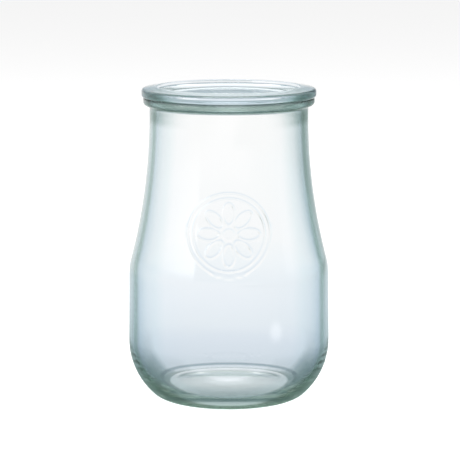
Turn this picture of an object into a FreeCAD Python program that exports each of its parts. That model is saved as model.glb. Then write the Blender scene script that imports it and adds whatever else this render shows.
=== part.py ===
"""Tulip-shaped preserving jar with a loose glass lid, both turned about Z.

Millimetres, +Z up. The origin is the centre of the foot, on the surface that the jar stands on.
"""
import FreeCAD, Part
import math
import os

# Jar, outside
body_radius = 63.2
jar_height = 190.0
body_taper = 0.5            # degrees that the side leans in towards the shoulder
heel_radius = 44.5          # big arc between the side and the foot
heel_turn = 48.0            # degrees of the heel that the big arc makes
foot_edge_radius = 14.0     # small arc that ends on the foot
foot_width = 3.0            # flat ring that the jar stands on
punt_height = 2.4           # rise of the hollow under the base
shoulder_height = 79.0      # where the side starts to turn into the flare
shoulder_radius = 41.0
neck_radius = 49.6
neck_length = 3.0           # straight stretch between the flare and the rim

# Jar, rim
rim_projection = 4.0        # from the neck out to the rim's side
rim_height = 4.6            # from the rim's underside to the seat
rim_lower_radius = 2.2
rim_edge_radius = 0.8       # both edges of the seat

# Jar, inside
body_wall = 3.1             # at the shoulder
neck_wall = 4.8
mouth_funnel = 4.6          # width and height of the sloping edge of the mouth
funnel_radius = 1.5         # where the funnel meets the neck
bore_taper = 1.2            # degrees that the inside leans in towards the shoulder
bore_heel_radius = 36.5     # big arc between the inside and the floor
bore_heel_turn = 59.0       # degrees of steepness at which that arc ends
floor_edge_radius = 4.0
floor_height = 6.0          # of the floor's edge, above the foot
floor_dome = 1.0            # rise of the floor at its centre

# Lid, heights from the seat
lid_overhang = 1.0          # past the rim's side
lid_edge_height = 5.7
lid_lower_radius = 2.0
lid_upper_radius = 1.8
crest_height = 7.0          # ring that the lid is highest on
crest_width = 0.8
crest_edge_radius = 0.7
recess_radius = 44.6        # hollow in the top
recess_flare = 0.4          # how far the hollow's upright wall leans in
ledge_depth = 2.1           # from the crest to the foot of that wall
plate_radius = 40.2         # flat middle, at the foot of the slope from the ledge
plate_depth = 4.6           # from the crest to the plate
recess_fillet = 0.5         # both corners of the hollow
under_hollow = 1.9          # rise of the plate's underside, inside the plug's ring
plug_fillet = 0.8           # between the plate and the plug's inner wall
plug_clearance = 0.9        # across, between the plug's cone and the mouth's
plug_depth = 3.6
plug_width = 5.0            # of the plug's ring, at its bottom
plug_edge_radius = 1.0

# Sizes that follow from the ones above
rim_radius = neck_radius + rim_projection
rim_fillet = rim_projection - rim_lower_radius
mouth_radius = neck_radius - neck_wall
funnel_top = mouth_radius + mouth_funnel
neck_start = jar_height - rim_height - rim_fillet - neck_length

FULL_TURN = 360.0


class Pen:
    """Draws straight lines and tangent arcs in the XZ plane; heading 0 is outward, 90 is up."""

    def __init__(self, r, z, heading):
        self.r = r
        self.z = z
        self.heading = heading
        self.edges = []

    def line_to(self, r, z):
        self.edges.append(Part.makeLine(point(self.r, self.z), point(r, z)))
        self.r = r
        self.z = z

    def arc_to(self, middle, end):
        self.edges.append(Part.Arc(point(self.r, self.z), point(*middle), point(*end)).toShape())
        self.r, self.z = end

    def turn(self, radius, degrees):
        """Tangent arc; positive degrees turn left."""
        side = math.copysign(1.0, degrees)
        across = math.radians(self.heading + 90.0 * side)
        centre = (self.r + radius * math.cos(across), self.z + radius * math.sin(across))
        ends = []
        for share in (0.5, 1.0):
            angle = across + math.pi + math.radians(degrees * share)
            ends.append((centre[0] + radius * math.cos(angle), centre[1] + radius * math.sin(angle)))
        self.arc_to(*ends)
        self.heading += degrees

    def forward_to_height(self, z):
        self.line_to(self.r + (z - self.z) / math.tan(math.radians(self.heading)), z)


def point(r, z):
    return FreeCAD.Vector(r, 0.0, z)


def dome_arc(pen, r, z):
    """Arc to (r, z) that is level where it meets the axis, from either side of it."""
    rim = (pen.r, pen.z) if pen.r else (r, z)
    top = z if pen.r else pen.z
    rise = top - rim[1]
    radius = (rim[0] ** 2 + rise ** 2) / (2.0 * rise)
    half = math.asin(rim[0] / radius) / 2.0
    pen.arc_to((radius * math.sin(half), top - radius * (1.0 - math.cos(half))), (r, z))


def flare(low_radius, high_radius, height, corner_radius, lean_degrees):
    """Angle and radius of the concave arc that follows the shoulder's corner up to the neck."""
    lean = math.radians(lean_degrees)
    travel_in = low_radius - high_radius + corner_radius * (1.0 - math.cos(lean))
    travel_up = height + corner_radius * math.sin(lean)
    angle = 2.0 * math.atan(travel_in / travel_up)
    arc_height = travel_up - corner_radius * math.sin(angle)
    return math.degrees(angle), arc_height / math.sin(angle)


def heel_height(radius, corner_radius, turn_degrees, lean_degrees):
    """Height of a heel's two arcs, from the foot or the floor up to the side."""
    turn = math.radians(turn_degrees)
    lean = math.radians(lean_degrees)
    return radius * (math.sin(turn) + math.sin(lean)) + corner_radius * (1.0 - math.sin(turn))


def heel_reach(radius, corner_radius, turn_degrees):
    """How far the foot lies in from the widest place."""
    turn = math.radians(turn_degrees)
    return radius * (1.0 - math.cos(turn)) + corner_radius * math.cos(turn)


def shoulder_start():
    """Radius of the leaning side where it meets the shoulder."""
    lean = math.radians(body_taper)
    side_start = heel_height(heel_radius, foot_edge_radius, heel_turn, body_taper)
    start = body_radius - heel_radius * (1.0 - math.cos(lean))
    return start - (shoulder_height - side_start) * math.tan(lean)


def revolve(pen):
    face = Part.Face(Part.Wire(pen.edges))
    solid = face.revolve(FreeCAD.Vector(0, 0, 0), FreeCAD.Vector(0, 0, 1), FULL_TURN)
    return solid if solid.Volume > 0 else solid.reversed()


def rounded(corners):
    """Closed section through (r, z, radius) corners, each rounded by its radius."""
    pen = None
    for index, (r, z, radius) in enumerate(corners):
        before = corners[index - 1]
        after = corners[(index + 1) % len(corners)]
        way_in = math.atan2(z - before[1], r - before[0])
        way_out = math.atan2(after[1] - z, after[0] - r)
        turn = (way_out - way_in + math.pi) % (2.0 * math.pi) - math.pi
        cut = radius * math.tan(abs(turn) / 2.0)
        start = (r - cut * math.cos(way_in), z - cut * math.sin(way_in))
        if pen is None:
            pen = Pen(*start, math.degrees(way_in))
        else:
            pen.line_to(*start)
            pen.heading = math.degrees(way_in)
        if radius:
            pen.turn(radius, math.degrees(turn))
    pen.line_to(corners[0][0], corners[0][1])
    return pen


def jar_outside():
    """From the edge of the punt out over the foot and up to the rim's underside."""
    foot_radius = body_radius - heel_reach(heel_radius, foot_edge_radius, heel_turn)
    flare_height = neck_start - shoulder_height
    angle, flare_radius = flare(shoulder_start(), neck_radius, flare_height, shoulder_radius, body_taper)
    pen = Pen(foot_radius - foot_width, 0.0, 0.0)
    pen.line_to(foot_radius, 0.0)
    pen.turn(foot_edge_radius, 90.0 - heel_turn)
    pen.turn(heel_radius, heel_turn + body_taper)
    pen.forward_to_height(shoulder_height)
    pen.turn(shoulder_radius, angle - body_taper)
    pen.turn(flare_radius, -angle)
    pen.line_to(neck_radius, neck_start + neck_length)
    return pen


def add_rim(pen):
    """Rim's underside, side and seat, and the funnel of the mouth."""
    cut = math.tan(math.radians(22.5))
    pen.turn(rim_fillet, -90.0)
    pen.turn(rim_lower_radius, 90.0)
    pen.line_to(rim_radius, jar_height - rim_edge_radius)
    pen.turn(rim_edge_radius, 90.0)
    pen.line_to(funnel_top + rim_edge_radius * cut, jar_height)
    pen.turn(rim_edge_radius, 45.0)
    pen.forward_to_height(jar_height - mouth_funnel + funnel_radius * cut * math.sqrt(0.5))
    pen.turn(funnel_radius, 45.0)


def add_inside(pen):
    """Neck, flare, side and floor, ending on the axis."""
    inner_shoulder = shoulder_radius - body_wall
    inner_start = shoulder_start() - body_wall
    flare_height = neck_start - shoulder_height
    angle, flare_radius = flare(inner_start, mouth_radius, flare_height, inner_shoulder, bore_taper)
    pen.line_to(mouth_radius, neck_start)
    pen.turn(flare_radius, angle)
    pen.turn(inner_shoulder, bore_taper - angle)
    pen.forward_to_height(
        floor_height + heel_height(bore_heel_radius, floor_edge_radius, bore_heel_turn, bore_taper)
    )
    pen.turn(bore_heel_radius, -bore_heel_turn - bore_taper)
    pen.turn(floor_edge_radius, bore_heel_turn - 90.0)
    dome_arc(pen, 0.0, floor_height + floor_dome)


def jar():
    pen = jar_outside()
    punt_radius = pen.edges[0].Vertexes[0].X
    add_rim(pen)
    add_inside(pen)
    pen.line_to(0.0, punt_height)
    dome_arc(pen, punt_radius, 0.0)
    return revolve(pen)


def lid():
    seat = jar_height
    plug_top = funnel_top - plug_clearance
    plug_radius = plug_top - plug_depth
    ledge = seat + crest_height - ledge_depth
    plate_top = seat + crest_height - plate_depth
    underside = seat - plug_depth + under_hollow
    edge_radius = rim_radius + lid_overhang
    corners = [
        (0.0, underside, 0.0),
        (plug_radius - plug_width, underside, plug_fillet),
        (plug_radius - plug_width, seat - plug_depth, plug_edge_radius),
        (plug_radius, seat - plug_depth, plug_edge_radius),
        (plug_top, seat, 0.0),
        (edge_radius, seat, lid_lower_radius),
        (edge_radius, seat + lid_edge_height, lid_upper_radius),
        (recess_radius + crest_width, seat + crest_height, crest_edge_radius),
        (recess_radius, seat + crest_height, crest_edge_radius),
        (recess_radius - recess_flare, ledge, recess_fillet),
        (plate_radius, plate_top, recess_fillet),
        (0.0, plate_top, 0.0),
    ]
    return revolve(rounded(corners))


os.makedirs("parts", exist_ok=True)
for name, shape in (("jar", jar()), ("lid", lid())):
    shape.exportStep("parts/" + name + ".step")
    print(name, "valid", shape.isValid(), "cm3", round(shape.Volume / 1000.0, 1))
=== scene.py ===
"""Dresses a tulip-shaped preserving jar and its loose glass lid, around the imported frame."""
import math

import bpy
from bpy.props import FloatProperty, FloatVectorProperty, IntProperty, PointerProperty
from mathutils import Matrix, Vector


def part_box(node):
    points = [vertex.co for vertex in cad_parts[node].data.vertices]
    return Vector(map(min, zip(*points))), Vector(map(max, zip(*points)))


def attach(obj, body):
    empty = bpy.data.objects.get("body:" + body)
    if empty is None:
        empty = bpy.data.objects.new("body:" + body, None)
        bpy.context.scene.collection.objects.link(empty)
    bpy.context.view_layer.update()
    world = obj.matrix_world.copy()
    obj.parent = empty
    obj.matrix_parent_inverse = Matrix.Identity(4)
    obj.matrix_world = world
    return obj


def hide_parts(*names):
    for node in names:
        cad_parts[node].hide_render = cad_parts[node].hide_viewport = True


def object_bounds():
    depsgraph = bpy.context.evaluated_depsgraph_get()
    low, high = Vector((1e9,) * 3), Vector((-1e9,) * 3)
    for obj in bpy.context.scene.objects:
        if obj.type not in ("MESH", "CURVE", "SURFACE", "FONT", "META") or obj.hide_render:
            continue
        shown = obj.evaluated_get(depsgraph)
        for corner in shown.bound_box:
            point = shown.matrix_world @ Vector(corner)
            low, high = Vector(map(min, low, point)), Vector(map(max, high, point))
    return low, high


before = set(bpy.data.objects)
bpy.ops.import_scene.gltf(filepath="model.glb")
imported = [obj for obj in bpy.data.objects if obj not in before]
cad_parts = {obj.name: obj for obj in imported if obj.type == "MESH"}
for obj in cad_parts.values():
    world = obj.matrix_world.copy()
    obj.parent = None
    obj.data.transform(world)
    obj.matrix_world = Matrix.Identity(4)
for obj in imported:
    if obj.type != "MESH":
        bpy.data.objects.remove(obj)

bl_info = {
    "name": "Preserving Jar",
    "version": (1, 0, 0),
    "blender": (4, 5, 0),
    "location": "View3D > Sidebar > Jar",
    "description": "Makes a pressed-glass preserving jar with a loose lid, and its studio",
    "category": "Add Mesh",
}

CAD_LOW, CAD_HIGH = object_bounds()
JAR_LOW, JAR_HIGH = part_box("jar")
LID_LOW, LID_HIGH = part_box("lid")
MM = 0.001
AXIS = (0.0, 0.0, 0.0)
WHITE = (1.0, 1.0, 1.0)
QUARTER = math.pi / 2.0
FULL_TURN = 2.0 * math.pi
CORNER_STEP = math.radians(3.75)    # turn of one step round a corner of the lid
WELD = 0.002 * MM                   # vertices closer than this become one
SEAT_CORNER = 0.3 * MM              # rounding between the lid's plug and its seat
MARKS_MARGIN = 3.0 * MM             # fine rows go on this far past the mould marks
RING_MARGIN = 2.0 * MM              # and this far past the medallion
DRAWING_GAP = 10.0 * MM             # the relief is drawn this far in front of the jar
FLAT_SHARE = 0.1                    # flat top of a raised line, as a share of its half width
BOUNCES = 160                       # light passes four skins of glass and mirrors inside them


def length(name, description, default):
    return FloatProperty(name=name, description=description, default=default, unit="LENGTH", precision=5)


def degrees(name, description, default):
    return FloatProperty(name=name, description=description, default=math.radians(default), subtype="ANGLE")


def number(name, description, default):
    return FloatProperty(name=name, description=description, default=default)


def colour(name, description, default):
    return FloatVectorProperty(name=name, description=description, default=default, subtype="COLOR", size=3)


class JarShape(bpy.types.PropertyGroup):
    body_radius: length("Body radius", "Widest radius of the jar", JAR_HIGH.x)
    height: length("Height", "From the foot to the seat of the lid", JAR_HIGH.z)
    taper: degrees("Taper", "Lean of the side towards the shoulder", 0.5)
    heel_radius: length("Heel radius", "Big arc between side and foot", 44.5 * MM)
    heel_turn: degrees("Heel turn", "How much of the heel the big arc makes", 48.0)
    foot_edge_radius: length("Foot edge radius", "Small arc that ends on the foot", 14.0 * MM)
    foot_width: length("Foot width", "Flat ring that the jar stands on", 3.0 * MM)
    punt_height: length("Punt height", "Rise of the hollow under the base", 2.4 * MM)
    shoulder_height: length("Shoulder height", "Where the side turns into the flare", 79.0 * MM)
    shoulder_radius: length("Shoulder radius", "Corner between side and flare", 41.0 * MM)
    neck_radius: length("Neck radius", "Narrowest radius, under the rim", 49.6 * MM)
    neck_length: length("Neck length", "Straight stretch under the rim", 3.0 * MM)
    rim_projection: length("Rim projection", "From the neck out to the rim's side", 4.0 * MM)
    rim_height: length("Rim height", "From the rim's underside to the seat", 4.6 * MM)
    rim_lower_radius: length("Rim lower radius", "Rounding under the rim", 2.2 * MM)
    rim_edge_radius: length("Rim edge radius", "Rounding of both edges of the seat", 0.8 * MM)
    body_wall: length("Body wall", "Glass in the side, at the shoulder", 3.1 * MM)
    neck_wall: length("Neck wall", "Glass in the neck", 4.8 * MM)
    mouth_funnel: length("Mouth funnel", "Width and height of the sloping edge of the mouth", 4.6 * MM)
    funnel_radius: length("Funnel radius", "Rounding where the funnel meets the neck", 1.5 * MM)
    bore_taper: degrees("Bore taper", "Lean of the inside towards the shoulder", 1.2)
    bore_heel_radius: length("Bore heel radius", "Big arc between the inside and the floor", 36.5 * MM)
    bore_heel_turn: degrees("Bore heel turn", "Steepness at which that arc ends", 59.0)
    floor_edge_radius: length("Floor edge radius", "Small arc round the floor", 4.0 * MM)
    floor_height: length("Floor height", "Height of the floor's edge", 6.0 * MM)
    floor_dome: length("Floor dome", "Rise of the floor at its centre", 1.0 * MM)
    relief_columns: IntProperty(name="Relief columns", description="Steps across the front", default=118)
    plain_columns: IntProperty(name="Plain columns", description="Steps round the rest", default=154)
    front_angle: degrees("Front angle", "Width of the finely divided front", 54.0)


class LidShape(bpy.types.PropertyGroup):
    edge_radius: length("Edge radius", "Widest radius of the lid", LID_HIGH.x)
    seat: length("Seat", "Height of the lid's flat underside", JAR_HIGH.z)
    air_gap: length("Air gap", "Film of air between lid and rim", 0.12 * MM)
    edge_height: length("Edge height", "From the seat to the top of the side", 5.7 * MM)
    lower_radius: length("Lower radius", "Rounding under the edge", 2.0 * MM)
    upper_radius: length("Upper radius", "Rounding over the edge", 1.8 * MM)
    crest: length("Crest", "Height of the highest ring", LID_HIGH.z)
    crest_width: length("Crest width", "Flat of the highest ring", 0.8 * MM)
    crest_edge_radius: length("Crest edge radius", "Rounding of the highest ring", 0.7 * MM)
    recess_radius: length("Recess radius", "Hollow in the top", 44.6 * MM)
    ledge_depth: length("Ledge depth", "From the crest down to the slope round the plate", 2.1 * MM)
    recess_flare: length("Recess flare", "How far the hollow's upright wall leans in", 0.4 * MM)
    plate_radius: length("Plate radius", "Flat middle of the lid", 40.2 * MM)
    plate_depth: length("Plate depth", "From the crest down to the plate", 4.6 * MM)
    recess_fillet: length("Recess fillet", "Rounding of both corners of the hollow", 0.5 * MM)
    under_hollow: length("Under hollow", "Rise of the underside inside the plug's ring", 1.9 * MM)
    plug_bottom: length("Plug bottom", "Lowest height of the plug", LID_LOW.z)
    plug_clearance: length("Plug clearance", "Between the plug's cone and the mouth's, outwards", 0.9 * MM)
    plug_width: length("Plug width", "Width of the plug's ring at its bottom", 5.0 * MM)
    plug_edge_radius: length("Plug edge radius", "Rounding of the plug's bottom", 1.0 * MM)
    plug_fillet: length("Plug fillet", "Rounding between the plate and the plug's inner wall", 0.8 * MM)
    columns: IntProperty(name="Columns", description="Steps round the lid", default=256)


class ReliefShape(bpy.types.PropertyGroup):
    centre_height: length("Centre height", "Height of the medallion's centre", 112.0 * MM)
    ring_radius: length("Ring radius", "Outer ring of the medallion", 25.0 * MM)
    inner_ring_radius: length("Inner ring radius", "Thin ring inside the outer one", 21.8 * MM)
    petals: IntProperty(name="Petals", description="Petals of the flower", default=8)
    petal_length: length("Petal length", "Long axis of a petal", 13.0 * MM)
    petal_width: length("Petal width", "Short axis of a petal", 7.0 * MM)
    petal_reach: length("Petal reach", "From the centre to the middle of a petal", 12.4 * MM)
    eye_radius: length("Eye radius", "Raised disc in the middle of the flower", 3.2 * MM)
    height: length("Relief height", "How far the relief stands out", 0.4 * MM)
    line_half_width: length("Line half width", "From the middle of a raised line to its foot", 0.9 * MM)
    marks: IntProperty(name="Mould marks", description="Small dots near the foot", default=9)
    marks_height: length("Marks height", "Height of the row of mould marks", 39.0 * MM)
    marks_pitch: length("Marks pitch", "From mark to mark", 4.6 * MM)
    mark_radius: length("Mark radius", "Size of a mould mark", 0.3 * MM)
    mark_relief: length("Mark relief", "How far a mould mark stands out", 0.15 * MM)


class GlassLook(bpy.types.PropertyGroup):
    surface: colour("Surface", "Tint that each surface of the glass adds", WHITE)
    jar_depth: colour("Jar depth", "Colour that thick glass of the jar turns", (0.30, 0.53, 0.43))
    jar_density: number("Jar density", "How fast the jar's glass turns that colour, per metre", 2.2)
    lid_depth: colour("Lid depth", "Colour that thick glass of the lid turns", (0.425, 0.64, 0.80))
    lid_density: number("Lid density", "How fast the lid's glass turns that colour, per metre", 4.0)
    ior: number("Refractive index", "Soda-lime glass", 1.52)
    roughness: number("Roughness", "Fire-polished surface", 0.0)
    jar_ripple: length("Jar ripple", "Depth of the slight waves that pressing leaves on the jar", 0.02 * MM)
    lid_ripple: length("Lid ripple", "Depth of the slight waves that pressing leaves on the lid", 0.003 * MM)
    ripple_scale: number("Ripple scale", "Waves per metre", 38.0)
    shade: colour("Shade", "Light that passes to the floor", (0.93, 0.96, 0.95))


class StageLook(bpy.types.PropertyGroup):
    floor: colour("Floor", "Paint of the floor", (0.90, 0.90, 0.90))
    floor_radius: length("Floor radius", "Extent of the floor", 6.0)
    floor_gap: length("Floor gap", "Air between foot and floor", 0.2 * MM)
    sky: number("Sky", "Light from the room", 0.55)
    camera_distance: length("Camera distance", "In front of the jar's axis", 1.5)
    camera_height: length("Camera height", "Above the floor", 0.3458)
    camera_tilt: degrees("Camera tilt", "Down from level", 9.08)
    camera_lens: number("Lens", "Focal length in millimetres on a 36 mm sensor", 188.84)
    camera_shift: number("Shift", "Sideways shift of the view", 0.0024)


# Tint and painted shade of the outer skin by how far it turns from the eye: partly the deeper colour of
# thick glass, partly painted shade for the dark that its edges show; the jar where it is upright, the jar
# where it faces down, and the lid
SIDE_TINT_AND_SHADE = (
    (0.10, WHITE),
    (0.24, (0.96, 0.985, 1.0)),
    (0.34, (0.79, 0.89, 0.92)),
    (0.42, (0.70, 0.80, 0.85)),
    (0.48, (0.56, 0.69, 0.75)),
    (0.56, (0.36, 0.50, 0.59)),
    (0.62, (0.11, 0.21, 0.20)),
    (0.68, (0.09, 0.19, 0.17)),
    (0.73, (0.20, 0.32, 0.34)),
    (0.80, (0.22, 0.34, 0.35)),
    (1.0, (0.25, 0.36, 0.36)),
)
HEEL_TINT_AND_SHADE = (
    (0.13, WHITE),
    (0.155, (0.26, 0.33, 0.32)),
    (0.20, (0.08, 0.14, 0.13)),
    (0.27, (0.11, 0.17, 0.165)),
    (0.35, (0.19, 0.26, 0.26)),
    (0.43, (0.27, 0.36, 0.33)),
    (0.49, (0.30, 0.41, 0.36)),
    (0.55, (0.08, 0.13, 0.09)),
    (0.66, (0.05, 0.11, 0.07)),
    (0.76, (0.09, 0.16, 0.11)),
    (1.0, (0.10, 0.18, 0.12)),
)
LID_TINT_AND_SHADE = (
    (0.22, WHITE),
    (0.29, (0.66, 0.80, 0.76)),
    (0.36, (0.17, 0.29, 0.24)),
    (0.46, (0.045, 0.11, 0.08)),
    (0.70, (0.04, 0.11, 0.08)),
    (0.85, (0.11, 0.21, 0.18)),
    (1.0, (0.20, 0.32, 0.30)),
)

# Painted shade: corners of the sections that show as thin dark lines, and a few broad dark bands, standing
# in for the dark that edges of thick glass show: radius, height and reach in mm, the shade, and how much
# of it shows square on
JAR_SHADE_LINES = (
    (44.0, 7.6, 2.0, (0.26, 0.34, 0.36), 1.0),
    (49.6, 179.5, 6.0, (0.20, 0.31, 0.26), 0.0),
    (53.4, 190.1, 1.5, (0.003, 0.012, 0.006), 0.42),
)
LID_SHADE_LINES = (
    (45.2, 197.1, 0.6, (0.50, 0.57, 0.59), 1.0),
    (44.2, 194.9, 0.8, (0.35, 0.42, 0.46), 1.0),
    (40.2, 192.4, 0.9, (0.12, 0.17, 0.17), 1.0),
    (49.0, 196.5, 4.5, (0.24, 0.33, 0.32), 1.0),
    (53.6, 195.7, 1.7, (0.04, 0.10, 0.08), 1.0),
    (53.4, 190.5, 1.5, (0.003, 0.012, 0.006), 0.42),
)


# What the glass shows and mirrors of the floor, by distance from the axis as a share of two metres: painted
# shade round the foot, with paler floor right under it; and of the sky, by height of the direction
FLOOR_LIGHT_AND_SHADE = (
    (0.0, (0.90, 0.95, 0.99)),
    (0.020, (0.84, 0.90, 0.94)),
    (0.025, (0.58, 0.67, 0.74)),
    (0.05, (0.63, 0.71, 0.79)),
    (0.08, (0.70, 0.77, 0.85)),
    (0.12, (0.79, 0.85, 0.90)),
    (0.18, (0.84, 0.89, 0.94)),
    (0.28, (0.90, 0.94, 0.97)),
    (0.36, (0.96, 0.98, 0.99)),
    (0.42, WHITE),
)
SKY_TINT = (
    (0.0, WHITE),
    (0.05, (0.95, 0.97, 0.98)),
    (0.11, (0.72, 0.80, 0.84)),
    (0.40, (0.66, 0.74, 0.77)),
    (0.60, (0.92, 0.96, 0.98)),
    (1.0, WHITE),
)
# Painted shade: the floor that the glass shows dims far to the right
FLOOR_RIGHT_SHADE = (0.62, 0.68, 0.67)    # share of the floor that is left far to the right
RIGHT_FROM = 0.12                   # where it starts to dim
RIGHT_TO = 0.7                      # and where it is dimmest
# Painted shadow: the floor that the glass mirrors darkens near the foot
CONTACT_SHADOW = (0.34, 0.44, 0.35)        # share of the floor that is mirrored right by the foot
CONTACT_SHADOW_REACH = 0.35                # distance from the axis at which that ends
WALL = (0.66, 0.76, 0.78)           # low wall to the right
WINDOW = (0.95, 0.98, 1.0)          # bright patch behind and above
WINDOW_AIM = (0.0, 0.78, 0.63)
WINDOW_GAIN = 0.5                   # how much brighter than the sky it is


# ---------------------------------------------------------------- shader nodes


class Wire:
    """A node's output that takes part in sums; each operation adds a Math node."""

    def __init__(self, graph, socket):
        self.graph = graph
        self.socket = socket

    def math(self, operation, *values):
        sockets = dict(enumerate(values))
        return self.graph.node("ShaderNodeMath", {"operation": operation}, sockets)

    def __add__(self, other):
        return self.math("ADD", self, other)

    __radd__ = __add__

    def __sub__(self, other):
        return self.math("SUBTRACT", self, other)

    def __rsub__(self, other):
        return self.math("SUBTRACT", other, self)

    def __mul__(self, other):
        return self.math("MULTIPLY", self, other)

    __rmul__ = __mul__

    def __truediv__(self, other):
        return self.math("DIVIDE", self, other)

    def __rtruediv__(self, other):
        return self.math("DIVIDE", other, self)


class Graph:
    """Builds a node tree from nothing."""

    def __init__(self, tree):
        self.tree = tree
        tree.nodes.clear()

    def node(self, kind, settings=None, inputs=None, output=0):
        made = self.tree.nodes.new(kind)
        for name, value in (settings or {}).items():
            if name == "stops":
                self.set_stops(made.color_ramp, value)
            else:
                setattr(made, name, value)
        for name, value in (inputs or {}).items():
            if isinstance(value, Wire):
                self.tree.links.new(value.socket, made.inputs[name])
            else:
                made.inputs[name].default_value = value
        return Wire(self, made.outputs[output]) if len(made.outputs) else None

    @staticmethod
    def set_stops(ramp, stops):
        while len(ramp.elements) > 1:
            ramp.elements.remove(ramp.elements[-1])
        for index, (place, shade) in enumerate(stops):
            element = ramp.elements[0] if index == 0 else ramp.elements.new(place)
            element.position = place
            element.color = (*shade, 1.0)


def solid(shade):
    return (*shade, 1.0)


def times(graph, first, second):
    return graph.node("ShaderNodeVectorMath", {"operation": "MULTIPLY"}, {0: first, 1: second})


def ramp(graph, share, stops):
    return graph.node("ShaderNodeValToRGB", {"stops": stops}, {0: share})


def blend(graph, share, first, second):
    """Colour between two others."""
    sockets = {0: share, 6: first, 7: second}
    return graph.node("ShaderNodeMix", {"data_type": "RGBA", "clamp_factor": True}, sockets, output=2)


def fade_in(graph, value, low, high):
    """0 up to low, 1 from high on, and a smooth step between."""
    return graph.node("ShaderNodeMapRange", {"interpolation_type": "SMOOTHSTEP"}, {0: value, 1: low, 2: high})


def own_place(graph):
    return graph.node("ShaderNodeTexCoord", output="Object")


def part_of(graph, vector, letter):
    return graph.node("ShaderNodeSeparateXYZ", None, {0: vector}, output=letter)


def size_of(graph, vector):
    return graph.node("ShaderNodeVectorMath", {"operation": "LENGTH"}, {0: vector}, output="Value")


def dot(graph, first, second):
    sockets = {0: first, 1: second}
    return graph.node("ShaderNodeVectorMath", {"operation": "DOT_PRODUCT"}, sockets, output="Value")


def turned_away(graph):
    """0 where the skin is seen square on, 1 at its edge."""
    return graph.node("ShaderNodeLayerWeight", None, {"Blend": 0.5}, output="Facing")


def light_path(graph, ray):
    return graph.node("ShaderNodeLightPath", output=ray)


def seen_through_glass(graph):
    """1 for what glass shows or mirrors, 0 for the rest."""
    transmitted = light_path(graph, "Is Transmission Ray")
    return transmitted.math("MAXIMUM", transmitted, light_path(graph, "Is Glossy Ray"))


def new_material(name):
    material = bpy.data.materials.new(name)
    material.use_nodes = True
    return material, Graph(material.node_tree)


def edge_tint_and_shade(graph, look, side_stops, under_stops):
    """Tint and painted shade of the outer skin: deeper and darker towards its edge, with stops of its own
    where it faces down.
    """
    facing = turned_away(graph)
    normal = graph.node("ShaderNodeNewGeometry", output="Normal")
    behind = graph.node("ShaderNodeNewGeometry", output="Backfacing")
    from_axis = times(graph, own_place(graph), (1.0, 1.0, 0.0))
    skin_side = 1.0 - behind * 2.0
    outwards = dot(graph, normal, from_axis) * skin_side
    up = part_of(graph, normal, "Z") * skin_side
    edge = blend(graph, up * -1.8, ramp(graph, facing, side_stops), ramp(graph, facing, under_stops))
    top = up * 3.0 - 1.0
    edge = blend(graph, top, edge, solid(look.surface))
    outer = outwards * 1000.0
    return blend(graph, outer, solid(look.surface), edge)


def corner_shade_lines(graph, tint_and_shade, lines):
    """Painted shade: darken the glass round each (radius, height, reach, shade, share) corner of the turned
    section.
    """
    place = own_place(graph)
    radius = size_of(graph, times(graph, place, (1.0, 1.0, 0.0)))
    height = part_of(graph, place, "Z")
    aside = fade_in(graph, turned_away(graph), 0.1, 0.7)
    for r, z, reach, shade, square in lines:
        across = radius - r * MM
        along = height - z * MM
        distance = across.math("SQRT", across * across + along * along)
        near = 1.0 - distance / (reach * MM)
        near = near.math("MAXIMUM", near, 0.0)
        rounded = near.math("SMOOTH_MIN", near * 1.6, 1.0, 0.3)
        share = rounded * (aside * (1.0 - square) + square)
        tint_and_shade = times(graph, tint_and_shade, blend(graph, share, solid(WHITE), solid(shade)))
    return tint_and_shade


def clear_glass(name, look, thick, ripple, stops, lines):
    """Clear pressed glass; thick is its colour and density, stops the tints and painted shade of side and
    underside.
    """
    material, graph = new_material(name)
    waves = graph.node(
        "ShaderNodeTexNoise",
        {"noise_dimensions": "3D"},
        {"Vector": own_place(graph), "Scale": look.ripple_scale, "Detail": 1.0, "Roughness": 0.4},
    )
    ripples = graph.node("ShaderNodeBump", None, {"Height": waves, "Distance": ripple, "Strength": 1.0})
    # Painted shade in the base colour: darker towards the skin's edges and round corners of the section
    tint_and_shade = edge_tint_and_shade(graph, look, *stops)
    glass = graph.node(
        "ShaderNodeBsdfPrincipled",
        None,
        {
            "Base Color": corner_shade_lines(graph, tint_and_shade, lines),
            "Roughness": look.roughness,
            "IOR": look.ior,
            "Transmission Weight": 1.0,
            "Normal": ripples,
        },
    )
    passing = graph.node("ShaderNodeBsdfTransparent", None, {"Color": solid(look.shade)})
    sockets = {0: light_path(graph, "Is Shadow Ray"), 1: glass, 2: passing}
    surface = graph.node("ShaderNodeMixShader", None, sockets)
    depth, density = thick
    volume = graph.node("ShaderNodeVolumeAbsorption", None, {"Color": solid(depth), "Density": density})
    graph.node("ShaderNodeOutputMaterial", None, {"Surface": surface, "Volume": volume})
    return material


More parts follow.
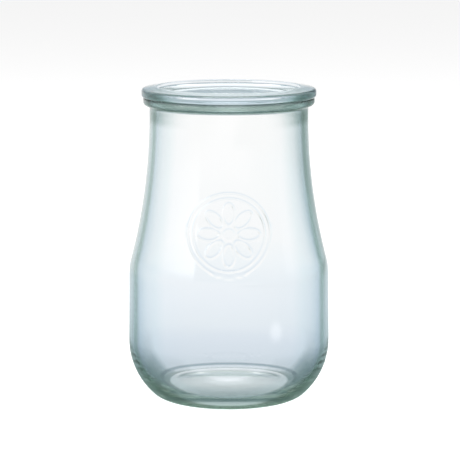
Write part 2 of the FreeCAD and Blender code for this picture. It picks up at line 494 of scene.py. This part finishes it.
def floor_paint(look):
    """Pale floor: white with the jar's shadow to the eye, and shaded near the foot to the glass."""
    material, graph = new_material("studio_floor")
    place = own_place(graph)
    reach = size_of(graph, place)
    # Painted shade in what the glass shows of the floor: darker round the foot and far to the right, and
    # darker still where the foot mirrors it
    away = ramp(graph, reach * 0.5, FLOOR_LIGHT_AND_SHADE)
    right = fade_in(graph, part_of(graph, place, "X"), RIGHT_FROM, RIGHT_TO)
    away = times(graph, away, blend(graph, right, solid(WHITE), solid(FLOOR_RIGHT_SHADE)))
    mirrored = light_path(graph, "Is Glossy Ray") * (1.0 - light_path(graph, "Is Transmission Ray"))
    contact_shadow = mirrored * (1.0 - reach / CONTACT_SHADOW_REACH)
    away = blend(graph, contact_shadow, away, times(graph, away, CONTACT_SHADOW))
    in_glass = graph.node("ShaderNodeEmission", None, {"Color": away, "Strength": 1.0})
    paint = graph.node("ShaderNodeBsdfDiffuse", None, {"Color": solid(look.floor)})
    glow = graph.node("ShaderNodeEmission", None, {"Color": solid(WHITE), "Strength": 0.4})
    lifted = graph.node("ShaderNodeAddShader", None, {0: paint, 1: glow})
    eye = light_path(graph, "Is Camera Ray")
    direct = graph.node("ShaderNodeMixShader", None, {0: eye, 1: paint, 2: lifted})
    surface = graph.node("ShaderNodeMixShader", None, {0: seen_through_glass(graph), 1: direct, 2: in_glass})
    graph.node("ShaderNodeOutputMaterial", None, {"Surface": surface})
    return material


def studio_world(look):
    """White all round to the eye; to the glass, pale at the horizon and dimmer overhead."""
    world = bpy.data.worlds.new("studio")
    world.use_nodes = True
    graph = Graph(world.node_tree)
    direction = graph.node("ShaderNodeTexCoord", output="Generated")
    height = part_of(graph, direction, "Z")
    sky = ramp(graph, height, SKY_TINT)
    towards = dot(graph, direction, WINDOW_AIM)
    window = fade_in(graph, towards, 0.76, 0.95) * fade_in(graph, height, 0.15, 0.35)
    sideways = part_of(graph, direction, "X")
    wall = fade_in(graph, sideways, 0.30, 0.75) * fade_in(graph, height * -1.0, -0.25, -0.08)
    sky = blend(graph, wall, sky, solid(WALL))
    sky = blend(graph, window, sky, solid(WINDOW))
    sky = times(graph, sky, 1.0 + window * WINDOW_GAIN)
    in_glass = graph.node("ShaderNodeBackground", None, {"Color": sky, "Strength": 1.0})
    room = graph.node("ShaderNodeBackground", None, {"Color": solid(WHITE), "Strength": look.sky})
    white = graph.node("ShaderNodeBackground", None, {"Color": solid(WHITE), "Strength": 1.0})
    eye = light_path(graph, "Is Camera Ray")
    direct = graph.node("ShaderNodeMixShader", None, {0: eye, 1: room, 2: white})
    surface = graph.node("ShaderNodeMixShader", None, {0: seen_through_glass(graph), 1: direct, 2: in_glass})
    graph.node("ShaderNodeOutputWorld", None, {"Surface": surface})
    bpy.context.scene.world = world


# ---------------------------------------------------------------- turning on the axis


class TurnedSection:
    """Half a section in the XZ plane, drawn from one vertex in edit mode and then turned about Z."""

    def __init__(self, name, r, z, heading):
        bpy.ops.object.select_all(action="DESELECT")
        bpy.ops.mesh.primitive_plane_add(size=MM, location=(r, 0.0, z))
        bpy.ops.object.transform_apply(location=True, rotation=False, scale=False)
        self.piece = bpy.context.object
        self.piece.name = name
        self.piece.data.name = name
        bpy.ops.object.mode_set(mode="EDIT")
        bpy.ops.mesh.select_mode(type="VERT")
        bpy.ops.mesh.select_all(action="SELECT")
        bpy.ops.mesh.merge(type="CENTER")
        self.r = r
        self.z = z
        self.heading = heading

    def line_to(self, r, z, steps=1):
        move = ((r - self.r) / steps, 0.0, (z - self.z) / steps)
        for _ in range(steps):
            bpy.ops.mesh.extrude_region_move(TRANSFORM_OT_translate={"value": move})
        self.r = r
        self.z = z

    def forward_to_height(self, z, steps=1):
        self.line_to(self.r + (z - self.z) / math.tan(self.heading), z, steps)

    def turn(self, radius, angle, steps):
        """Tangent arc; a positive angle turns left, with heading 0 outward and a quarter turn up."""
        across = self.heading + math.copysign(QUARTER, angle)
        centre_r = self.r + radius * math.cos(across)
        centre_z = self.z + radius * math.sin(across)
        bpy.ops.mesh.spin(steps=steps, angle=angle, center=(centre_r, 0.0, centre_z), axis=(0.0, 1.0, 0.0))
        end = across + math.pi + angle
        self.r = centre_r + radius * math.cos(end)
        self.z = centre_z + radius * math.sin(end)
        self.heading += angle

    def dome_to_axis(self, top, steps):
        """Arc that is level where it meets the axis."""
        rise = top - self.z
        radius = (self.r ** 2 + rise ** 2) / (2.0 * rise)
        angle = math.asin(self.r / radius)
        bpy.ops.mesh.spin(steps=steps, angle=angle, center=(0.0, 0.0, top - radius), axis=(0.0, 1.0, 0.0))
        self.r = 0.0
        self.z = top

    def close(self, sweeps):
        """Turns the section by (angle, steps) sweeps that add up to a full turn."""
        bpy.ops.mesh.select_all(action="SELECT")
        for angle, steps in sweeps:
            bpy.ops.mesh.spin(steps=steps, angle=angle, center=AXIS, axis=(0.0, 0.0, 1.0))
        bpy.ops.mesh.select_all(action="SELECT")
        bpy.ops.mesh.remove_doubles(threshold=WELD)
        bpy.ops.mesh.normals_make_consistent(inside=False)
        bpy.ops.object.mode_set(mode="OBJECT")
        bpy.ops.object.shade_smooth()
        return self.piece


def rounded_corners(section, corners):
    """Carries the section round (r, z, radius) corners; it starts at the first and ends at the last."""
    for before, here, after in zip(corners, corners[1:], corners[2:]):
        way_in = math.atan2(here[1] - before[1], here[0] - before[0])
        way_out = math.atan2(after[1] - here[1], after[0] - here[0])
        angle = (way_out - way_in + math.pi) % FULL_TURN - math.pi
        cut = here[2] * math.tan(abs(angle) / 2.0)
        section.line_to(here[0] - cut * math.cos(way_in), here[1] - cut * math.sin(way_in))
        section.heading = way_in
        if here[2]:
            section.turn(here[2], angle, steps=max(2, round(abs(angle) / CORNER_STEP)))
    section.line_to(corners[-1][0], corners[-1][1])


def flare(low_radius, high_radius, height, corner_radius, lean):
    """Angle and radius of the concave arc that follows the shoulder's corner up to the neck."""
    travel_in = low_radius - high_radius + corner_radius * (1.0 - math.cos(lean))
    travel_up = height + corner_radius * math.sin(lean)
    angle = 2.0 * math.atan(travel_in / travel_up)
    return angle, (travel_up - corner_radius * math.sin(angle)) / math.sin(angle)


def heel_top(radius, corner_radius, turn, lean):
    """Height of a heel's two arcs, from the foot or the floor to the side."""
    return radius * (math.sin(turn) + math.sin(lean)) + corner_radius * (1.0 - math.sin(turn))


def shoulder_start(shape):
    """Radius of the leaning side where it meets the shoulder."""
    leave_height = heel_top(shape.heel_radius, shape.foot_edge_radius, shape.heel_turn, shape.taper)
    start = shape.body_radius - shape.heel_radius * (1.0 - math.cos(shape.taper))
    return start - (shape.shoulder_height - leave_height) * math.tan(shape.taper)


def start_of_neck(shape):
    """Height at which the straight neck starts."""
    return shape.height - shape.rim_height - rim_fillet(shape) - shape.neck_length


def draw_outside(section, shape, relief):
    """Foot, heel, side, shoulder and flare, up to the rim's underside."""
    neck_start = start_of_neck(shape)
    flare_height = neck_start - shape.shoulder_height
    angle, radius = flare(
        shoulder_start(shape), shape.neck_radius, flare_height, shape.shoulder_radius, shape.taper
    )
    section.line_to(section.r + shape.foot_width, 0.0, steps=2)
    section.heading = 0.0
    section.turn(shape.foot_edge_radius, QUARTER - shape.heel_turn, steps=9)
    section.turn(shape.heel_radius, shape.heel_turn + shape.taper, steps=20)
    section.forward_to_height(relief.marks_height + MARKS_MARGIN, steps=10)
    section.forward_to_height(shape.shoulder_height, steps=4)
    section.turn(shape.shoulder_radius, angle - shape.taper, steps=8)
    fine_height = relief.centre_height + relief.ring_radius + RING_MARGIN - section.z
    fine = angle - math.asin(math.sin(angle) - fine_height / radius)
    section.turn(radius, -fine, steps=118)
    section.turn(radius, fine - angle, steps=14)
    section.line_to(shape.neck_radius, neck_start + shape.neck_length)


def rim_fillet(shape):
    return shape.rim_projection - shape.rim_lower_radius


def draw_rim(section, shape):
    """Rim's underside, side and seat, ending at the mouth's edge."""
    rim_radius = shape.neck_radius + shape.rim_projection
    funnel_top = shape.neck_radius - shape.neck_wall + shape.mouth_funnel
    cut = math.tan(QUARTER / 4.0)
    section.turn(rim_fillet(shape), -QUARTER, steps=8)
    section.turn(shape.rim_lower_radius, QUARTER, steps=10)
    section.line_to(rim_radius, shape.height - shape.rim_edge_radius)
    section.turn(shape.rim_edge_radius, QUARTER, steps=7)
    section.line_to(funnel_top + shape.rim_edge_radius * cut, shape.height, steps=2)
    section.turn(shape.rim_edge_radius, QUARTER / 2.0, steps=5)
    lower_edge = shape.height - shape.mouth_funnel + shape.funnel_radius * cut * math.sin(QUARTER / 2.0)
    section.forward_to_height(lower_edge, steps=3)
    section.turn(shape.funnel_radius, QUARTER / 2.0, steps=5)


def draw_inside(section, shape):
    """Neck, flare, side and floor, ending on the axis."""
    inner_shoulder = shape.shoulder_radius - shape.body_wall
    mouth_radius = shape.neck_radius - shape.neck_wall
    neck_start = start_of_neck(shape)
    flare_height = neck_start - shape.shoulder_height
    heel_height = heel_top(
        shape.bore_heel_radius, shape.floor_edge_radius, shape.bore_heel_turn, shape.bore_taper
    )
    corner_start = shoulder_start(shape) - shape.body_wall
    angle, radius = flare(corner_start, mouth_radius, flare_height, inner_shoulder, shape.bore_taper)
    section.line_to(mouth_radius, neck_start, steps=2)
    section.turn(radius, angle, steps=34)
    section.turn(inner_shoulder, shape.bore_taper - angle, steps=8)
    section.forward_to_height(shape.floor_height + heel_height, steps=3)
    section.turn(shape.bore_heel_radius, -shape.bore_heel_turn - shape.bore_taper, steps=24)
    section.turn(shape.floor_edge_radius, shape.bore_heel_turn - QUARTER, steps=8)
    section.dome_to_axis(shape.floor_height + shape.floor_dome, steps=14)


def turn_jar(shape, relief):
    """The jar as one closed skin, finely divided at the front where the relief is raised."""
    foot_radius = (
        shape.body_radius
        - shape.heel_radius * (1.0 - math.cos(shape.heel_turn))
        - shape.foot_edge_radius * math.cos(shape.heel_turn)
    )
    punt_radius = foot_radius - shape.foot_width
    section = TurnedSection("jar_glass", 0.0, shape.punt_height, 0.0)
    dome = (punt_radius ** 2 + shape.punt_height ** 2) / (2.0 * shape.punt_height)
    bpy.ops.mesh.spin(
        steps=12,
        angle=-math.asin(punt_radius / dome),
        center=(0.0, 0.0, shape.punt_height - dome),
        axis=(0.0, 1.0, 0.0),
    )
    section.r = punt_radius
    section.z = 0.0
    draw_outside(section, shape, relief)
    draw_rim(section, shape)
    draw_inside(section, shape)
    before = QUARTER - shape.front_angle / 2.0
    rest = FULL_TURN - shape.front_angle
    first_steps = round(shape.plain_columns * before / rest)
    return section.close(
        (
            (before, first_steps),
            (shape.front_angle, shape.relief_columns),
            (rest - before, shape.plain_columns - first_steps),
        )
    )


# ---------------------------------------------------------------- relief on the front


def front_circle(radius, height, vertices, fill="NOTHING", offset=0.0):
    """A circle in a plane that faces the front, ready to be laid on the jar."""
    bpy.ops.mesh.primitive_circle_add(
        vertices=vertices,
        radius=radius,
        fill_type=fill,
        location=(offset, CAD_LOW.y - DRAWING_GAP, height),
        rotation=(QUARTER, 0.0, 0.0),
    )
    bpy.ops.object.transform_apply(location=True, rotation=True, scale=True)
    return bpy.context.object


def lay_on(piece, jar):
    """Presses the flat drawing back onto the jar's front."""
    wrap = piece.modifiers.new("lay", "SHRINKWRAP")
    wrap.target = jar
    wrap.wrap_method = "PROJECT"
    wrap.use_project_y = True
    wrap.use_positive_direction = True
    wrap.use_negative_direction = False
    bpy.context.view_layer.objects.active = piece
    bpy.ops.object.modifier_apply(modifier=wrap.name)


def join(pieces):
    """One object out of several."""
    bpy.ops.object.select_all(action="DESELECT")
    for piece in pieces:
        piece.select_set(True)
    bpy.context.view_layer.objects.active = pieces[0]
    bpy.ops.object.join()
    return bpy.context.object


def petal(relief, index):
    """One oval petal of the flower, turned to its place about the medallion's centre."""
    piece = front_circle(relief.petal_length / 2.0, relief.centre_height + relief.petal_reach, vertices=40)
    bpy.ops.object.mode_set(mode="EDIT")
    bpy.ops.mesh.select_all(action="SELECT")
    centre = (0.0, 0.0, relief.centre_height)
    narrow = relief.petal_width / relief.petal_length
    bpy.ops.transform.resize(value=(narrow, 1.0, 1.0), center_override=centre)
    turn = FULL_TURN * index / relief.petals
    bpy.ops.transform.rotate(value=turn, orient_axis="Y", center_override=centre)
    bpy.ops.object.mode_set(mode="OBJECT")
    return piece


def medallion_lines(relief):
    """Two rings round an outlined flower."""
    rings = [
        front_circle(relief.ring_radius, relief.centre_height, vertices=160),
        front_circle(relief.inner_ring_radius, relief.centre_height, vertices=140),
    ]
    return join(rings + [petal(relief, index) for index in range(relief.petals)])


def medallion_discs(relief):
    """The flower's eye and the row of mould marks near the foot."""
    discs = [front_circle(relief.eye_radius, relief.centre_height, vertices=32, fill="TRIFAN")]
    for index in range(relief.marks):
        along = (index - (relief.marks - 1) / 2.0) * relief.marks_pitch
        disc = front_circle(relief.mark_radius, relief.marks_height, vertices=12, fill="TRIFAN", offset=along)
        discs.append(disc)
    return join(discs)


def raise_along(jar, drawing, geometry, foot, height):
    """Raises the jar's skin by height at the drawing, sloping down to nothing at the foot's distance."""
    bpy.ops.object.select_all(action="DESELECT")
    jar.select_set(True)
    bpy.context.view_layer.objects.active = jar
    bpy.ops.object.vertex_group_add()
    group = jar.vertex_groups.active
    group.name = drawing.name
    bpy.ops.object.mode_set(mode="EDIT")
    bpy.ops.mesh.select_all(action="SELECT")
    bpy.context.scene.tool_settings.vertex_group_weight = 0.0
    bpy.ops.object.vertex_group_assign()
    bpy.ops.object.mode_set(mode="OBJECT")
    near = jar.modifiers.new("near", "VERTEX_WEIGHT_PROXIMITY")
    near.vertex_group = group.name
    near.target = drawing
    near.proximity_mode = "GEOMETRY"
    near.proximity_geometry = {geometry}
    near.falloff_type = "SMOOTH"
    near.min_dist = foot
    near.max_dist = FLAT_SHARE * foot
    lift = jar.modifiers.new("lift", "DISPLACE")
    lift.vertex_group = group.name
    lift.direction = "NORMAL"
    lift.mid_level = 0.0
    lift.strength = height
    bpy.ops.object.modifier_apply(modifier=near.name)
    bpy.ops.object.modifier_apply(modifier=lift.name)
    bpy.ops.object.vertex_group_remove(all=True)
    bpy.data.meshes.remove(drawing.data)


def add_relief(jar, relief):
    """Medallion and mould marks, drawn flat, laid on the jar and raised."""
    lines = medallion_lines(relief)
    lines.name = "medallion_lines"
    lay_on(lines, jar)
    discs = medallion_discs(relief)
    discs.name = "medallion_discs"
    lay_on(discs, jar)
    raise_along(jar, lines, "EDGE", relief.line_half_width, relief.height)
    raise_along(jar, discs, "FACE", relief.line_half_width, relief.mark_relief)


# ---------------------------------------------------------------- lid


def turn_lid(shape, jar_shape):
    """The lid as one closed skin."""
    seat = shape.seat + shape.air_gap
    mouth_radius = jar_shape.neck_radius - jar_shape.neck_wall
    plug_top = mouth_radius + jar_shape.mouth_funnel - shape.plug_clearance
    plug_radius = plug_top - (shape.seat - shape.plug_bottom)
    ledge = shape.crest - shape.ledge_depth
    plate_top = shape.crest - shape.plate_depth
    underside = shape.plug_bottom + shape.under_hollow
    edge_top = shape.seat + shape.edge_height
    corners = (
        (0.0, underside, 0.0),
        (plug_radius - shape.plug_width, underside, shape.plug_fillet),
        (plug_radius - shape.plug_width, shape.plug_bottom, shape.plug_edge_radius),
        (plug_radius, shape.plug_bottom, shape.plug_edge_radius),
        (plug_top, seat, SEAT_CORNER),
        (shape.edge_radius, seat, shape.lower_radius),
        (shape.edge_radius, edge_top, shape.upper_radius),
        (shape.recess_radius + shape.crest_width, shape.crest, shape.crest_edge_radius),
        (shape.recess_radius, shape.crest, shape.crest_edge_radius),
        (shape.recess_radius - shape.recess_flare, ledge, shape.recess_fillet),
        (shape.plate_radius, plate_top, shape.recess_fillet),
        (0.0, plate_top, 0.0),
    )
    section = TurnedSection("lid_glass", corners[0][0], corners[0][1], 0.0)
    rounded_corners(section, corners)
    return section.close(((FULL_TURN, shape.columns),))


def finish_piece(piece, node, material):
    """Puts the glass on the piece and lets it stand for its node."""
    piece.data.materials.clear()
    piece.data.materials.append(material)
    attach(piece, "root")
    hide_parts(node)


# ---------------------------------------------------------------- stage


def show_as_mirror_image(piece, material, graph, share, strength):
    """Lets the piece glow by share, only in what mirrors it."""
    shine = graph.node("ShaderNodeEmission", None, {"Color": solid(WHITE), "Strength": strength})
    clear = graph.node("ShaderNodeBsdfTransparent")
    surface = graph.node("ShaderNodeMixShader", None, {0: share, 1: clear, 2: shine})
    graph.node("ShaderNodeOutputMaterial", None, {"Surface": surface})
    piece.data.materials.append(material)
    piece.visible_camera = False
    piece.visible_diffuse = False
    piece.visible_transmission = False
    piece.visible_shadow = False


def soft_panel(name, azimuth, low, high, width, strength, distance=0.9):
    """Upright softbox; azimuth is counted in degrees from the front, to the right."""
    turn = math.radians(azimuth)
    bpy.ops.mesh.primitive_plane_add(size=2.0, rotation=(QUARTER, 0.0, turn))
    panel = bpy.context.object
    panel.name = name
    panel.location = (distance * math.sin(turn), -distance * math.cos(turn), (low + high) / 2.0)
    panel.scale = (width / 2.0, (high - low) / 2.0, 1.0)
    material, graph = new_material(name)
    place = own_place(graph)
    outwards = part_of(graph, place, "X") * math.copysign(1.0, azimuth)
    upwards = part_of(graph, place, "Y")
    outer = fade_in(graph, outwards * -1.0, -1.0, 0.4)
    inner = fade_in(graph, outwards, -1.0, -0.85)
    foot = fade_in(graph, upwards, -1.0, 0.2)
    head = fade_in(graph, upwards * -1.0, -1.0, -0.9)
    show_as_mirror_image(panel, material, graph, outer * inner * foot * head, strength)


def soft_spot(name, azimuth, distance, radius, strength):
    """Round glow just above the floor; azimuth is counted in degrees from the front, to the right."""
    turn = math.radians(azimuth)
    place = (distance * math.sin(turn), -distance * math.cos(turn), MM)
    bpy.ops.mesh.primitive_circle_add(vertices=32, radius=1.0, fill_type="NGON", location=place)
    spot = bpy.context.object
    spot.name = name
    spot.scale = (radius, radius, 1.0)
    material, graph = new_material(name)
    share = fade_in(graph, size_of(graph, own_place(graph)) * -1.0, -1.0, -0.2)
    show_as_mirror_image(spot, material, graph, share, strength)


def soft_lamp(name, place, aim, width, height, power):
    """Square area lamp that glass doesn't show."""
    bpy.ops.object.light_add(type="AREA", location=place)
    lamp = bpy.context.object
    lamp.name = name
    lamp.rotation_euler = (Vector(aim) - Vector(place)).to_track_quat("-Z", "Y").to_euler()
    lamp.data.shape = "RECTANGLE"
    lamp.data.size = width
    lamp.data.size_y = height
    lamp.data.energy = power
    lamp.visible_transmission = False


def set_camera(look):
    bpy.ops.object.camera_add(
        location=(0.0, -look.camera_distance, look.camera_height),
        rotation=(QUARTER - look.camera_tilt, 0.0, 0.0),
    )
    camera = bpy.context.object
    camera.data.sensor_width = 36.0
    camera.data.lens = look.camera_lens
    camera.data.shift_x = look.camera_shift
    bpy.context.scene.camera = camera


def lay_floor(look):
    bpy.ops.mesh.primitive_circle_add(
        vertices=96, radius=look.floor_radius, fill_type="NGON", location=(0.0, 0.0, -look.floor_gap)
    )
    bpy.ops.object.transform_apply(location=True, rotation=False, scale=False)
    floor = bpy.context.object
    floor.name = "studio_floor"
    floor.data.materials.append(floor_paint(look))


class JAR_OT_stage(bpy.types.Operator):
    """Lay the floor, light the studio and set the camera"""

    bl_idname = "jar.stage"
    bl_label = "Studio"

    def execute(self, context):
        look = context.scene.stage_look
        bpy.ops.object.select_all(action="DESELECT")
        lay_floor(look)
        studio_world(look)
        middle = (CAD_LOW + CAD_HIGH) / 2.0
        soft_panel("left_softbox", azimuth=-73.0, low=0.05, high=0.8, width=1.26, strength=4.0)
        soft_panel("right_softbox", azimuth=83.0, low=0.05, high=0.8, width=0.5, strength=1.6)
        soft_spot("floor_glow", azimuth=50.0, distance=0.33, radius=0.06, strength=3.0)
        soft_panel("right_flag", azimuth=158.0, low=-0.05, high=0.8, width=0.5, strength=0.05)
        soft_lamp("overhead", place=(0.0, -0.2, 1.6), aim=middle, width=1.2, height=1.2, power=22.0)
        set_camera(look)
        context.scene.view_settings.view_transform = "Standard"
        cycles = context.scene.cycles
        cycles.max_bounces = BOUNCES
        cycles.glossy_bounces = BOUNCES
        cycles.transmission_bounces = BOUNCES
        return {"FINISHED"}


class JAR_OT_jar(bpy.types.Operator):
    """Turn the jar from its section and raise the medallion and the mould marks on it"""

    bl_idname = "jar.jar"
    bl_label = "Jar"

    def execute(self, context):
        scene = context.scene
        look = scene.glass_look
        jar = turn_jar(scene.jar_shape, scene.relief_shape)
        add_relief(jar, scene.relief_shape)
        thick = (look.jar_depth, look.jar_density)
        glass = clear_glass("jar_glass", look, thick, look.jar_ripple, (SIDE_TINT_AND_SHADE, HEEL_TINT_AND_SHADE), JAR_SHADE_LINES)
        finish_piece(jar, "jar", glass)
        return {"FINISHED"}


class JAR_OT_lid(bpy.types.Operator):
    """Turn the lid from its section"""

    bl_idname = "jar.lid"
    bl_label = "Lid"

    def execute(self, context):
        scene = context.scene
        look = scene.glass_look
        lid = turn_lid(scene.lid_shape, scene.jar_shape)
        thick = (look.lid_depth, look.lid_density)
        glass = clear_glass("lid_glass", look, thick, look.lid_ripple, (LID_TINT_AND_SHADE, LID_TINT_AND_SHADE), LID_SHADE_LINES)
        finish_piece(lid, "lid", glass)
        return {"FINISHED"}


class JAR_PT_panel(bpy.types.Panel):
    """Lists the pieces of the jar"""

    bl_idname = "JAR_PT_panel"
    bl_label = "Preserving Jar"
    bl_space_type = "VIEW_3D"
    bl_region_type = "UI"
    bl_category = "Jar"

    def draw(self, context):
        for operator in OPERATORS:
            self.layout.operator(operator.bl_idname)


GROUPS = {
    "jar_shape": JarShape,
    "lid_shape": LidShape,
    "relief_shape": ReliefShape,
    "glass_look": GlassLook,
    "stage_look": StageLook,
}
OPERATORS = (JAR_OT_stage, JAR_OT_jar, JAR_OT_lid)
CLASSES = (*GROUPS.values(), *OPERATORS, JAR_PT_panel)


def register():
    for item in CLASSES:
        bpy.utils.register_class(item)
    for name, group in GROUPS.items():
        setattr(bpy.types.Scene, name, PointerProperty(type=group))


def unregister():
    for name in GROUPS:
        delattr(bpy.types.Scene, name)
    for item in reversed(CLASSES):
        bpy.utils.unregister_class(item)


def main():
    register()
    bpy.ops.jar.stage()
    bpy.ops.jar.jar()
    bpy.ops.jar.lid()


if __name__ == "__main__":
    main()
